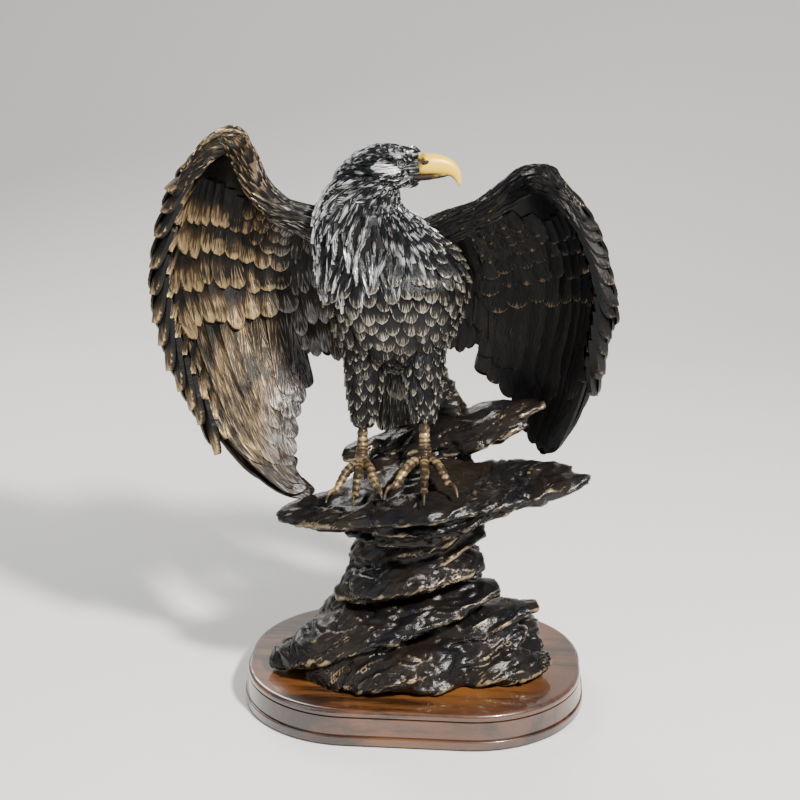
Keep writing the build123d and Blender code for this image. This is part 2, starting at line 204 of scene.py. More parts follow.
def convexity(points, quads, normals, rounds):  # above 0 on ridges, below 0 in hollows
    edges = np.concatenate([quads[:, [0, 1]], quads[:, [1, 2]], quads[:, [2, 3]], quads[:, [3, 0]]])
    level = np.zeros(len(points))
    near = np.zeros(len(points))
    apart = points[edges[:, 1]] - points[edges[:, 0]]
    for end, way in ((0, 1), (1, -1)):
        rise = -(apart * way * normals[edges[:, end]]).sum(1)
        np.add.at(level, edges[:, end], rise)
        np.add.at(near, edges[:, end], np.linalg.norm(apart, axis=1))
    level /= np.maximum(near, 1e-6)
    for _ in range(rounds):
        total, share = level.copy(), np.ones(len(points))
        for end in (0, 1):
            np.add.at(total, edges[:, end], level[edges[:, 1 - end]])
            np.add.at(share, edges[:, end], 1)
        level = total / share
    return level


# Each kind of feather: where its tip begins, how square the tip is, how wide its root is, how finely it is
# made,
# and where along it the dark root ends: dark patina plus painted shade where the feather above overlaps it.
featherKinds = {
    "scallop": {"shoulder": 0.35, "square": 2.2, "root": 0.8, "rows": 8, "columns": 5, "rootPatinaShade": (0.4, 0.72)},
    "leaf": {"shoulder": 0.3, "square": 1.6, "root": 0.8, "rows": 8, "columns": 5, "rootPatinaShade": (0.4, 0.75)},
    "hackle": {"shoulder": 0.12, "square": 1.25, "root": 0.8, "rows": 8, "columns": 5, "rootPatinaShade": (0.3, 0.62)},
    "covert": {"shoulder": 0.55, "square": 2.3, "root": 0.75, "rows": 10, "columns": 7,
               "rootPatinaShade": (0.42, 0.74)},
    "quill": {"shoulder": 0.82, "square": 1.9, "root": 0.7, "rows": 20, "columns": 9, "rootPatinaShade": (0.1, 0.34)},
}
featherSpacing = {"across": 1.35, "along": 0.5}  # in half widths and in lengths
featherGrids = {}


def featherGrid(kind):
    if kind not in featherGrids:
        rows, columns = featherKinds[kind]["rows"], featherKinds[kind]["columns"]
        share = 1 - (1 - np.linspace(0, 1, rows)) ** 1.5  # closer together at the tip
        across = np.sin(np.linspace(-np.pi / 2, np.pi / 2, columns))
        index = np.arange(rows * columns).reshape(rows, columns)
        top = np.stack([index[:-1, :-1], index[:-1, 1:], index[1:, 1:], index[1:, :-1]], -1).reshape(-1, 4)
        rim = np.concatenate([index[:, 0], index[-1, 1:-1], index[::-1, -1]])
        under = rows * columns + np.arange(len(rim))
        skirt = np.stack([rim[:-1], rim[1:], under[1:], under[:-1]], -1)
        featherGrids[kind] = share, across, rim, [top, skirt]
    return featherGrids[kind]


def feather(casting, kind, trace, half, lift, camber, ridge, sink, roll=0.0, bend=0.0, glow=1.0):
    make = featherKinds[kind]
    share, across, rim, faces = featherGrid(kind)
    centre, side, normal = [curve(row, share) for row in trace]
    length = np.linalg.norm(np.diff(centre, axis=0), axis=1).sum()
    tip = np.clip((share - make["shoulder"]) / (1 - make["shoulder"]), 0, 1)
    outline = make["root"] + (1 - make["root"]) * np.clip(share / make["shoulder"], 0, 1)
    outline = outline * (1 - tip ** make["square"]) ** (1 / make["square"])
    outline = np.maximum(outline, 0.06)
    reach = half * outline[:, None] * across[None, :]
    rise = lift * share[:, None] ** 1.2 + camber * (1 - across[None, :] ** 2) * (0.4 + 0.6 * share[:, None])
    rise = rise + ridge * np.exp(-((across[None, :] / 0.22) ** 2)) * (1 - share[:, None] ** 3)
    rise = rise + roll * reach - bend * reach**2
    points = centre[:, None] + side[:, None] * reach[..., None] + normal[:, None] * rise[..., None]
    points = points.reshape(-1, 3)
    drop = np.repeat(normal, len(across), 0)[rim] * sink
    edge = np.abs(across[None, :]) ** 8 * 0.8 + smooth(0.8, 1, share)[:, None]
    quillRib = 0.35 * np.exp(-((across[None, :] / 0.2) ** 2))
    # the overlapped root is darkened: dark patina plus painted shade under the feather above
    seen = smooth(*make["rootPatinaShade"], share)[:, None]
    wear = np.clip(edge + quillRib, 0, 1) * seen * glow - 0.9 * (1 - seen)
    alongRow = np.broadcast_to((share * length)[:, None], reach.shape).ravel()
    # the skirt under the rim is dark patina plus painted shade (wear -1.2)
    casting.add(
        np.concatenate([points, points[rim] - drop]),
        faces,
        wear=np.concatenate([wear.ravel(), np.full(len(rim), -1.2)]),
        along=np.concatenate([alongRow, alongRow[rim]]),
        across=np.concatenate([reach.ravel(), reach.ravel()[rim]]),
        tone=random.random(),
    )


def traceOn(skin, start, heading, length, steps=5):  # walks over a skin
    spot, normal, _, _ = skin.find_nearest(Vector(start))
    trace = []
    heading = Vector(heading)
    for _ in range(steps):
        heading = (heading - normal * heading.dot(normal)).normalized()
        trace.append((spot, heading.cross(normal), normal))
        ahead, turned, _, _ = skin.find_nearest(spot + heading * (length / (steps - 1)))
        normal = (normal + turned).normalized()
        spot = ahead
    return [np.array([row[part] for row in trace], float) for part in range(3)]


def scatter(points, headings, normals, acrossGap, alongGap, seedling):  # thins points to even spacing
    order = np.random.default_rng(seedling).permutation(len(points))
    sides = np.cross(headings, normals)
    reach = max(np.max(acrossGap), np.max(alongGap))
    cells, kept = {}, []
    keys = np.floor(points / reach).astype(int)
    acrossGap, alongGap = [np.broadcast_to(gap, len(points)) for gap in (acrossGap, alongGap)]
    around = [(x, y, z) for x in (-1, 0, 1) for y in (-1, 0, 1) for z in (-1, 0, 1)]
    for i in order:
        near = [j for step in around for j in cells.get(tuple(keys[i] + step), ())]
        if near:
            apart = points[near] - points[i]
            gap = (apart @ sides[i] / acrossGap[i]) ** 2 + (apart @ headings[i] / alongGap[i]) ** 2
            gap = gap + (apart @ normals[i] / acrossGap[i]) ** 2
            if gap.min() < 1:
                continue
        cells.setdefault(tuple(keys[i]), []).append(i)
        kept.append(i)
    return kept


def treeOf(points, faces):
    return BVHTree.FromPolygons([Vector(p) for p in points], [tuple(row) for face in faces for row in face])


def grownFeathers(kind, look, grown):  # one size for each point, from the smallest to the full one
    return {**look, **{name: between(look[name], grown) for name in ("half", "length", "lift")}, "kind": kind}


def plumage(casting, points, faces, plan, seedling):  # covers a skin: plan gives each feather's shape
    quads = faces[0]
    normals = pointNormals(points, quads)
    skin = treeOf(points, faces)
    headings, size, keep = plan(points)
    headings = unit(headings - normals * (headings * normals).sum(1, keepdims=True))
    chosen = np.flatnonzero(keep)
    acrossGap = size["half"][chosen] * featherSpacing["across"]
    alongGap = size["length"][chosen] * featherSpacing["along"]
    kept = scatter(points[chosen], headings[chosen], normals[chosen], acrossGap, alongGap, seedling)
    for i in chosen[kept]:
        jitter = random.uniform(0.9, 1.1)
        trace = traceOn(skin, points[i], headings[i] + random.normal(0, 0.08, 3), size["length"][i] * jitter)
        feather(casting, size["kind"], trace, size["half"][i] * random.uniform(0.92, 1.1),
                lift=size["lift"][i], camber=size["camber"], ridge=size["ridge"], sink=size["lift"][i] + 0.9,
                bend=size["bend"], glow=size["glow"])
    print(casting.name, len(kept), "feathers")


class Wire:  # one socket of a material, so that shader maths reads as arithmetic
    def __init__(self, paint, socket):
        self.paint, self.socket = paint, socket

    def math(self, operation, *others, swap=False):
        values = [self, *others]
        if swap:
            values.reverse()
        return self.paint.node("ShaderNodeMath", {"operation": operation}, dict(enumerate(values)))

    def __add__(self, other):
        return self.math("ADD", other)

    def __mul__(self, other):
        return self.math("MULTIPLY", other)

    def __sub__(self, other):
        return self.math("SUBTRACT", other)

    def __rsub__(self, other):
        return self.math("SUBTRACT", other, swap=True)

    __radd__, __rmul__ = __add__, __mul__

    def sine(self):
        return self.math("SINE")

    def step(self, low, high):
        values = {"Value": self, "From Min": low, "From Max": high}
        return self.paint.node("ShaderNodeMapRange", {"interpolation_type": "SMOOTHSTEP"}, values)


class Paint:
    def __init__(self, name):
        self.material = bpy.data.materials.new(name)
        self.material.use_nodes = True
        self.tree = self.material.node_tree
        self.tree.nodes.clear()

    def node(self, kind, settings=None, values=None, output=0):
        node = self.tree.nodes.new(kind)
        for name, setting in (settings or {}).items():
            setattr(node, name, setting)
        for name, value in (values or {}).items():
            socket = node.inputs[name]
            if isinstance(value, Wire):
                self.tree.links.new(value.socket, socket)
            else:
                socket.default_value = value
        return Wire(self, node.outputs[output])

    def place(self):
        return self.node("ShaderNodeTexCoord", output="Object")

    def value(self, channel):
        return self.node("ShaderNodeAttribute", {"attribute_name": channel}, output="Fac")

    def noise(self, scale, detail=3.0, rough=0.55, vector=None):
        values = {"Vector": vector or self.place(), "Scale": scale, "Detail": detail, "Roughness": rough}
        return self.node("ShaderNodeTexNoise", {}, values)

    def stretched(self, x, y, z, turn=(0, 0, 0)):
        values = {"Vector": self.place(), "Scale": (x, y, z), "Rotation": turn}
        return self.node("ShaderNodeMapping", {}, values)

    def blend(self, share, first, second):
        first, second = [c if isinstance(c, Wire) else (*c, 1) for c in (first, second)]
        values = {"Factor": share, 6: first, 7: second}
        return self.node("ShaderNodeMix", {"data_type": "RGBA"}, values, output=2)

    def bump(self, height, distance, strength=1.0):
        return self.node("ShaderNodeBump", {}, {"Height": height, "Distance": distance, "Strength": strength})

    def finish(self, **values):
        names = {name.replace("_", " "): value for name, value in values.items()}
        shader = self.node("ShaderNodeBsdfPrincipled", {}, names)
        output = self.tree.nodes.new("ShaderNodeOutputMaterial")
        self.tree.links.new(shader.socket, output.inputs["Surface"])
        return self.material


# Each finish's patina, its warmer cloud, the metal that rubbing shows, and how much is rubbed: on edges
# and tips, in strokes along the feather, and overall.
bronze = {
    "rightWing": {"dark": (0.005, 0.0045, 0.004), "warm": (0.045, 0.026, 0.013), "warmth": 0.8, "edge": 0.50,
                  "streak": 0.95, "base": 0.30, "rub": (0.52, 0.37, 0.19), "rubbed": 0.8, "gloss": 0.34},
    # the eagle's left wing is a shaded copy of the right wing's finish: its darker patina and lighter rubbing
    # are painted shade
    "leftWing": {"dark": (0.002, 0.002, 0.0025), "warm": (0.010, 0.007, 0.005), "warmth": 0.6, "edge": 0.60,
                 "streak": 0.70, "base": -0.12, "rub": (0.50, 0.38, 0.23), "rubbed": 0.7, "gloss": 0.38},
    "breast": {"dark": (0.004, 0.004, 0.005), "warm": (0.020, 0.015, 0.011), "warmth": 0.6, "edge": 0.50,
               "streak": 1.0, "base": 0.18, "rub": (0.50, 0.46, 0.38), "rubbed": 0.85, "gloss": 0.30},
    "hackles": {"dark": (0.004, 0.005, 0.006), "warm": (0.016, 0.016, 0.017), "warmth": 0.6, "edge": 0.35,
                "streak": 1.0, "base": 0.36, "rub": (0.82, 0.83, 0.83), "rubbed": 0.95, "gloss": 0.30},
    "rock": {"dark": (0.005, 0.005, 0.006), "warm": (0.020, 0.014, 0.009), "warmth": 0.7, "edge": 0.62,
             "streak": 0.50, "base": -0.06, "rub": (0.54, 0.41, 0.24), "rubbed": 0.75, "gloss": 0.25},
    "feet": {"dark": (0.010, 0.007, 0.005), "warm": (0.06, 0.038, 0.019), "warmth": 0.9, "edge": 0.60,
             "streak": 0.9, "base": 0.02, "rub": (0.58, 0.42, 0.20), "rubbed": 0.85, "gloss": 0.32},
}
silver = (0.36, 0.365, 0.37)  # what rubbing shows near the eagle's right shoulder


def bronzePaint(name, feathered=True, splay=0.12, grain=0.25, cool=None):
    look = bronze[name]
    paint = Paint(name + "Bronze")
    wear, tone = paint.value("wear"), paint.value("tone")
    cloud = paint.noise(38, 4)
    grit = paint.noise(420, 4, 0.65)
    across, along = paint.value("across").math("ABSOLUTE"), paint.value("along")
    barbs = {"X": (across - along * splay) * 1.7, "Y": along * 0.09, "Z": tone * 60}
    lines = paint.noise(1.0, 3, 0.6, vector=paint.node("ShaderNodeCombineXYZ", {}, barbs))
    strata = paint.noise(34, 5, 0.6, vector=paint.stretched(0.6, 2.5, 6, (0, 0.4, 0)))
    strokes = lines if feathered else strata
    warm = (cloud + tone * 0.24 - 0.12).step(0.3, 0.7) * wear.step(-0.9, 0.0) * look["warmth"]
    patina = paint.blend(warm, look["dark"], look["warm"])
    caught = wear * look["edge"] + (strokes - 0.5) * 2.4 * look["streak"] + (cloud - 0.5) * 0.9 + look["base"]
    rub = caught.step(0.28, 0.85) * (0.55 + grit * 0.7).math("MINIMUM", 1.0) * look["rubbed"]
    metal = look["rub"]
    if cool:  # from gold to silver along X
        east = paint.node("ShaderNodeSeparateXYZ", {}, {0: paint.stretched(1, 1, 1)}, 0)
        metal = paint.blend((east + (cloud - 0.5) * 0.04).step(*cool), metal, silver)
    colour = paint.blend(rub, patina, metal)
    rough = grit * 0.14 + (look["gloss"] - 0.07)
    height = strokes * (1.0 if feathered else 0.7) + grit * grain
    return paint.finish(
        Base_Color=colour, Metallic=rub * 0.65 + 0.12, Roughness=rough, Specular_IOR_Level=0.25,
        Normal=paint.bump(height, 0.0007, 0.9),
    )


strataLean = 0.42  # the rock's grain climbs to +X by this much for each millimetre along


def slab(start, middle, end, wide, thick, flat=(0, -0.25, 1), points=16):  # a long stone with thin rims
    share = np.linspace(0, 1, points)
    path = curve([start, middle, end], share)
    _, side, normal = frames(path, flat)
    taper = np.sin(np.clip(share * 0.94 + 0.03, 0, 1) * np.pi) ** 0.55
    angle = np.arange(18) * 2 * np.pi / 18
    rim = np.sin(angle) * np.abs(np.sin(angle)) ** 0.45
    rings = path[:, None] + side[:, None] * (np.cos(angle)[None, :] * (wide * taper)[:, None])[..., None]
    rings = rings + normal[:, None] * (rim[None, :] * (thick * (0.12 + 0.88 * taper))[:, None])[..., None]
    return skinRings(rings)


def rockShift(points, normals, depth, seed):
    # Long ridges and creases that run along the strata: noise squeezed across them, twisted by slower noise.
    shifts = np.zeros(len(points))
    for i, (x, y, z) in enumerate(points):
        twist = noise.noise(Vector((x, y, z)) / 45 + Vector((seed, 0, 0)))
        across = z - strataLean * x + 14 * twist
        u = Vector((x + strataLean * z, y * 1.5, across * 3.6)) / 36
        ridged = 1 - abs(noise.noise(u + Vector((0, seed, 0)))) * 2.8
        finer = 1 - abs(noise.noise(u * 2.4 + Vector((seed, 0, 0)))) * 2.6
        crease = max(0.0, 1 - abs(noise.noise(u * 1.9 + Vector((0, 0, seed)))) * 8)
        patch = noise.noise(Vector((x, y, z)) / 26 + Vector((0, seed, 0))) + 0.5
        shifts[i] = ridged * 0.7 + finer * 0.4 - crease * max(0.0, patch) * 1.3 - 0.55
    return points + normals * (shifts * depth)[:, None]


def rockPiece(name, slabs, node, base, depth, voxel, seed, floor=None):
    raised = [[(x, y, z + base) for x, y, z in row[:3]] + list(row[3:]) for row in slabs]
    points, faces = fuse([slab(*row) for row in raised], voxel, 2)
    normals = pointNormals(points, faces[0])
    points = rockShift(points, normals, depth, seed)
    if floor is not None:
        points[:, 2] = np.maximum(points[:, 2], floor)
    normals = pointNormals(points, faces[0])
    ridge = convexity(points, faces[0], normals, 2)
    casting = Casting(name)
    casting.add(points, faces, wear=smooth(0.02, 0.16, ridge), tone=0.5)
    return casting.place(rockFinish, "rock_bronze", node, crease=180)


rockFinish = bronzePaint("rock", feathered=False, grain=0.5)

deck = moundLow.z
moundTop = moundHigh.z
ledgeSlabs = [  # each slab's ends and middle, half width and half thickness, with heights from the perch
    ((-78, -34, -21), (-34, -38, -15), (14, -42, -10), 22, 7.5),
    ((-52, -14, -18), (0, -18, -5), (52, -18, -4), 29, 10),
    ((-48, -46, -16), (2, -56, -8), (56, -46, -2), 16, 6),
    ((-12, -34, -14), (48, -36, -6), (104, -30, 4.5), 17, 7),
    ((6, -18, -4), (46, -18, 0), (94, -20, 6), 18, 6),
    ((-38, -8, -12), (-4, 2, 3), (34, 4, 8), 22, 9),
    ((-44, -26, -28), (0, -32, -26), (52, -32, -12), 21, 8),
    ((-30, -40, -30), (8, -42, -27), (44, -40, -15), 14, 5),
    ((-34, -44, -22), (16, -52, -17), (66, -44, -5), 13, 4.5),
    ((-4, -48, -10), (44, -50, -4), (90, -38, 3), 11, 4),
    ((-20, -50, -26), (20, -50, -21), (50, -46, -12), 10, 4),
    ((-70, -40, -20), (-40, -50, -17), (-6, -54, -14), 11, 4.5),
]
rearSlabs = [
    ((-30, 12, 8), (8, 10, 16), (52, 4, 28), 18, 8),
    ((0, 20, 10), (36, 10, 27), (78, 2, 39), 17, 6.5),
    ((6, 8, 6), (34, 0, 17), (68, -3, 30), 13, 6.5),
    ((-44, 0, 4), (-34, 2, 7), (-20, 8, 12), 9, 6),
    ((14, 24, 8), (36, 20, 22), (60, 13, 36), 12, 7),
]
cragSlabs = [
    ((-2, 24, 14), (6, 24, 36), (10, 24, 58), 11, 9),
    ((18, 22, 14), (17, 24, 34), (9, 25, 60), 11, 8),
    ((26, 22, 12), (22, 22, 30), (15, 23, 48), 9, 8),
]
neckSlabs = [  # heights from the top of the mound
    ((-46, -16, -14), (-6, -22, 4), (44, -16, 10), 24, 12),
    ((-41, -12, -3), (2, -22, 13), (43, -18, 30), 17, 7),
    ((-38, -6, 2), (-18, -8, 18), (10, -8, 36), 20, 11),
    ((-26, 2, -8), (6, 4, 18), (30, 4, 44), 26, 20),
    ((-14, -10, 12), (8, -18, 26), (44, -12, 38), 19, 9),
    ((-30, 8, 10), (-12, 6, 30), (8, 2, 46), 20, 14),
    ((-10, 10, -10), (12, 14, 12), (40, 8, 26), 20, 13),
    ((-30, -12, 26), (-6, -18, 36), (34, -14, 50), 18, 8),
    ((16, 6, 22), (21, 3, 36), (23, 2, 54), 11, 11),
    ((8, 4, -12), (22, 4, 1), (38, 0, 14), 13, 12),
    ((-36, 2, -16), (-21, 4, 1), (-6, 4, 14), 13, 12),
    ((-19, 6, 22), (-21, 4, 36), (-22, 2, 54), 11, 11),
]
moundSlabs = [  # heights from the plinth's deck
    ((-78, -6, 4), (-10, -6, 14), (80, -4, 8), 38, 16),
    ((-86, -24, 5), (-30, -30, 33), (52, -16, 55), 27, 11),
    ((-80, -30, 6), (-44, -34, 22), (0, -32, 44), 16, 8),
    ((-62, -34, 2), (-14, -44, 12), (30, -34, 17), 20, 13),
    ((20, -34, 4), (56, -28, 9), (84, -16, 9), 16, 10),
    ((-10, -28, 22), (36, -20, 33), (76, -6, 41), 17, 6.5),
    ((-60, -4, 14), (-24, -6, 40), (26, -10, 60), 28, 17),
    ((-36, 14, 20), (0, 16, 40), (40, 10, 52), 22, 15),
    ((-70, 14, 4), (-20, 24, 14), (40, 26, 10), 20, 14),
    ((16, 12, 6), (46, 10, 20), (78, 2, 14), 24, 13),
    ((-40, -44, 3), (6, -48, 7), (36, -38, 5), 12, 8),
    ((6, -24, 10), (34, -22, 20), (70, -14, 26), 18, 9),
    ((-30, 28, 4), (0, 32, 12), (30, 28, 8), 15, 13),
]


rocks = {
    "perchLedge": {"slabs": ledgeSlabs, "node": "perch_ledge", "base": perch, "depth": 2.0, "voxel": 1.4,
                   "seed": 3.1},
    "rearLedge": {"slabs": rearSlabs, "node": "rear_ledge", "base": perch, "depth": 1.7, "voxel": 1.3,
                  "seed": 8.7},
    "rearCrag": {"slabs": cragSlabs, "node": "rear_crag", "base": perch, "depth": 1.7, "voxel": 1.4,
                 "seed": 5.2},
    "rockNeck": {"slabs": neckSlabs, "node": "rock_neck", "base": moundTop, "depth": 2.0, "voxel": 1.5,
                 "seed": 12.4},
    "rockMound": {"slabs": moundSlabs, "node": "rock_mound", "base": deck, "depth": 2.1, "voxel": 1.6,
                  "seed": 21.7, "floor": deck},
}
for name, rock in rocks.items():
    rockPiece(name, **rock)

torsoRows = [  # height from the perch, middle X and Y, half width and half depth
    (58, -11, 12, 9, 8),
    (64, -12, 6, 21, 19),
    (74, -12, 1, 29, 27),
    (90, -12, -3, 36, 33),
    (112, -12, -6, 42, 36),
    (132, -17, -4, 39.5, 33),
    (146, -26, -2, 31, 28),
    (156, -32, -3, 23.5, 22.5),
    (165, -30, -6, 20, 19),
    (174, -26, -9, 16, 16),
]
faceY = -11
faceRise = 182
beakRootX = 2.5


def rings(rows, around=40):
    angle = np.arange(around) * 2 * np.pi / around
    table = curve(rows, np.linspace(0, 1, len(rows) * 5))
    x = table[:, 1, None] + table[:, 3, None] * np.cos(angle)[None]
    y = table[:, 2, None] + table[:, 4, None] * np.sin(angle)[None]
    return np.stack([x, y, np.broadcast_to(table[:, :1] + perch, x.shape)], -1)


def over(point):
    return np.array([point[0], point[1], point[2] + perch], float)


headEggs = [  # middle, radii, turn and lean: skull, crown, forehead, cheeks, brows, cere, chin, nape
    ((-17, -11, 180), (16, 13, 11.5), 0, 0.12),
    ((-15, -11, 185.5), (14, 9.5, 6.4), 0, 0.06),
    ((-5, -11, 185.6), (8.5, 7.6, 5.0), 0, 0.0),
    ((-12, -11, 178), (12.5, 12.6, 6.5), 0, 0.1),
    ((-4.5, -20.6, 187.6), (9.5, 3.3, 1.9), 0.22, -0.1),
    ((-4.5, -1.4, 187.6), (9.5, 3.3, 1.9), -0.22, -0.1),
    ((1, -11, 181), (5.0, 7.2, 6.0), 0, 0.0),
    ((-5, -11, 173.6), (9, 6.2, 3.4), 0, 0.1),
    ((-33, -7, 169), (10.5, 13, 13), 0, -0.6),
    ((-27, -9, 178), (12, 12, 10.5), 0, -0.4),
]
bodyShells = [skinRings(rings(torsoRows))]
bodyShells += [egg(over(middle), radii, turn, lean) for middle, radii, turn, lean in headEggs]
bodyPoints, bodyFaces = fuse(bodyShells, 1.6, 6)
faceFront = over((beakRootX + 3, faceY, faceRise))
eyeX, eyeRise = -6.3, faceRise + 1.7
# the face's pale patches are rubbed silver and painted as highlights on skull, cheeks and brows
bright = [  # the smooth pale patches of the face: middle and reach of each
    ((-17, 181.4), (7.5, 3.2)),
    ((-12, 179.2), (6.5, 2.6)),
    ((-5.5, 188.4), (8.5, 2.0)),
]
neckFeathers = {"half": (1.2, 2.5), "length": (5, 22), "lift": (0.6, 2.3), "camber": 1.3, "ridge": 0.5,
                "bend": 0.05, "glow": 0.9}
breastFeathers = {"half": (3.2, 4.8), "length": (9, 13), "lift": (2.2, 2.9), "camber": 0.9, "ridge": 0.2,
                  "bend": 0.02, "glow": 1.0}
beakClear, eyeClear = 10.5, 4.2  # no feathers nearer than this to the beak's root and the eye


def bodyHeading(points):  # feathers lie back from the beak, then down the neck and breast
    away = unit(points - faceFront)
    down = np.array([0.0, 0.0, -1.0])
    share = smooth(perch + 176, perch + 150, points[:, 2])[:, None]
    outward = unit((points - over((-22, 0, 0))) * (1, 1, 0)) * 0.12
    return away * (1 - share) + (down + outward) * share


def faceGlow(points):  # 1 in the middle of the face's pale patches, 0 outside them
    reach = [((points[:, [0, 2]] - (x, perch + z)) / size) ** 2 for (x, z), size in bright]
    nearest = np.min([row.sum(1) for row in reach], axis=0)
    return smooth(1.0, 0.55, nearest) * smooth(6, 9, np.abs(points[:, 1] - faceY))


def hem(points):  # where the long neck feathers end: lower to the eagle's right, higher to its left
    front = smooth(0, -22, points[:, 1])
    slope = smooth(-32, 12, points[:, 0])
    shoulder = smooth(2, 14, points[:, 0])
    return 132 - 8 * front + 9 * slope * front + 28 * shoulder + 2.5 * np.sin(points[:, 0] * 0.5)


def hacklePlan(points):
    height = points[:, 2] - perch
    apart = np.linalg.norm(points - faceFront, axis=1)
    grown = smooth(14, 60, apart)
    eyeGap = np.hypot(points[:, 0] - eyeX, height - eyeRise)
    keep = (height > hem(points)) & (apart > beakClear) & (faceGlow(points) < 0.3) & (eyeGap > eyeClear)
    sway = np.sin(points[:, 2] * 0.22 + points[:, 0] * 0.15)[:, None] * (0.3, -0.1, 0)
    return bodyHeading(points) + sway * grown[:, None], grownFeathers("hackle", neckFeathers, grown), keep


def breastPlan(points):
    height = points[:, 2] - perch
    keep = (height < hem(points) + 1) & (height > 58)
    return bodyHeading(points), grownFeathers("scallop", breastFeathers, smooth(58, 90, height)), keep


torsoFinish = bronzePaint("breast")
hackleFinish = bronzePaint("hackles", splay=0.08)
torso = Casting("torso")
head = Casting("headAndNeck")
neckSeat = perch + 152
centres = [bodyPoints[face].mean(1)[:, 2] > neckSeat for face in bodyFaces]
torso.add(bodyPoints, [face[~above] for face, above in zip(bodyFaces, centres) if (~above).any()], wear=0.0)
# the face's pale patches: rubbed silver, painted as highlights
head.add(bodyPoints, [face[above] for face, above in zip(bodyFaces, centres) if above.any()],
         wear=faceGlow(bodyPoints) * 1.7 - 0.5, along=bodyPoints[:, 0], across=bodyPoints[:, 2])
plumage(torso, bodyPoints, bodyFaces, breastPlan, 3)
plumage(head, bodyPoints, bodyFaces, hacklePlan, 4)
torso.place(torsoFinish, "feather_bronze", "torso")
head.place(hackleFinish, "feather_bronze", "head")


beakPaint = {"pale": (0.80, 0.51, 0.035), "brown": (0.016, 0.008, 0.005)}


def beakFinish():
    paint = Paint("giltBeak")
    wear = paint.value("wear")
    cloud = paint.noise(160, 4)
    streak = paint.noise(60, 3, vector=paint.stretched(1, 1, 7))
    # brown for the real stain at the root, and as painted shade along the mouth and over the lower beak
    brownStainAndShade = (wear + (cloud - 0.5) * 1.1).step(0.40, 0.8)
    colour = paint.blend(brownStainAndShade, beakPaint["pale"], beakPaint["brown"])
    height = streak * 0.5 + cloud * 0.3
    return paint.finish(Base_Color=colour, Roughness=cloud * 0.15 + brownStainAndShade * 0.25 + 0.32, Metallic=0.1,
                        Normal=paint.bump(height, 0.0004, 0.8), Specular_IOR_Level=0.3)


upperBeak = [  # X from the root, rise from the face's line, half width, half height
    (-5, 0.2, 4.6, 4.4),
    (1, 0.0, 5.9, 6.0),
    (7, 0.0, 5.4, 6.1),
    (13, -0.6, 4.2, 5.5),
    (17.6, -2.2, 3.2, 4.5),
    (20.6, -4.8, 2.3, 3.3),
    (22.2, -8.0, 1.4, 2.0),
    (22.7, -10.8, 0.7, 1.0),
    (22.6, -12.4, 0.2, 0.3),
]
lowerBeak = [  # the same for the lower half
    (-6, -7.2, 5.0, 2.2),
    (2, -7.0, 4.6, 2.3),
    (9, -6.3, 3.5, 2.0),
    (15, -5.6, 2.3, 1.4),
    (17.4, -5.4, 0.9, 0.5),
]
beakMetal = beakFinish()


def beakPiece(name, rows, node, mouthWay):
    base = perch + faceRise
    rows = [(beakRootX + x, faceY, base + rise, wide, high) for x, rise, wide, high in rows]
    table = curve(rows, np.linspace(0, 1, 48))
    _, side, normal = frames(table[:, :3])
    angle = np.arange(32) * 2 * np.pi / 32
    keel = 1 - 0.14 * np.abs(np.sin(angle)) ** 6  # a soft ridge along the top
    points = table[:, None, :3] + side[:, None] * (np.cos(angle) * keel)[None, :, None] * table[:, None, 3:4]
    points = points + normal[:, None] * np.sin(angle)[None, :, None] * table[:, None, 4:5]
    shell, faces = skinRings(points)
    atRoot = smooth(9, 2, table[:, 0] - beakRootX)[:, None]
    # the mouth line, under the upper beak and on top of the lower, is darkened as painted shade
    mouthShade = smooth(0.55, 0.95, mouthWay * np.sin(angle))[None, :]
    casting = Casting(name)
    # the stain at the root is real; the mouth line and the whole lower beak (+0.75) are painted shade
    rootStainAndShade = np.maximum(atRoot * 0.6, mouthShade * 0.8) + (0.75 if mouthWay > 0 else 0.0)
    casting.add(shell, faces, wear=np.minimum(rootStainAndShade, 1.0).ravel())
    if mouthWay < 0:
        for away in (-1, 1):
            nostril = over((beakRootX + 4.2, faceY + away * 5.4, faceRise + 1.4))
            casting.add(*egg(nostril, (2.2, 0.8, 1.2), -away * 0.2, -0.35), wear=1.0)
    return casting.place(beakMetal, "gilt_beak", node, crease=180)


beakPiece("upperBeak", upperBeak, "upper_beak", -1)
beakPiece("lowerBeak", lowerBeak, "lower_beak", 1)


def lathe(profile, centre, axis, around=24):  # a profile of radius and height, turned about an axis
    axis = unit(axis)
    side = unit(np.cross(axis, (0.2, 0.1, 1)))
    up = np.cross(side, axis)
    angle = np.arange(around) * 2 * np.pi / around
    spokes = np.cos(angle)[:, None] * side + np.sin(angle)[:, None] * up
    profile = np.asarray(profile, float)
    points = np.asarray(centre) + profile[:, 0, None, None] * spokes[None] + profile[:, 1, None, None] * axis
    return skinRings(points)


eye = {  # the ball's and the lid's radius and height, how brightly each ring is rubbed, and the way it faces
    "ball": [(1.7, -1.4), (2.0, -0.3), (1.9, 0.5), (1.55, 1.0), (1.2, 1.3), (1.0, 1.2), (0.8, 1.42),
             (0.4, 1.5), (0.05, 1.53)],
    "ballRub": [0, 0, 0, 0.1, 0.35, 0.05, 0, 0, 0],
    "lid": [(1.8, -0.6), (1.95, 0.75), (2.4, 1.05), (2.9, 0.5), (3.1, -0.8)],
    "lidRub": [0, 0, 0.3, 0.1, 0],
    "forward": 0.25,
    "upward": 0.08,
    "out": 10.3,  # from the head's middle plane
}


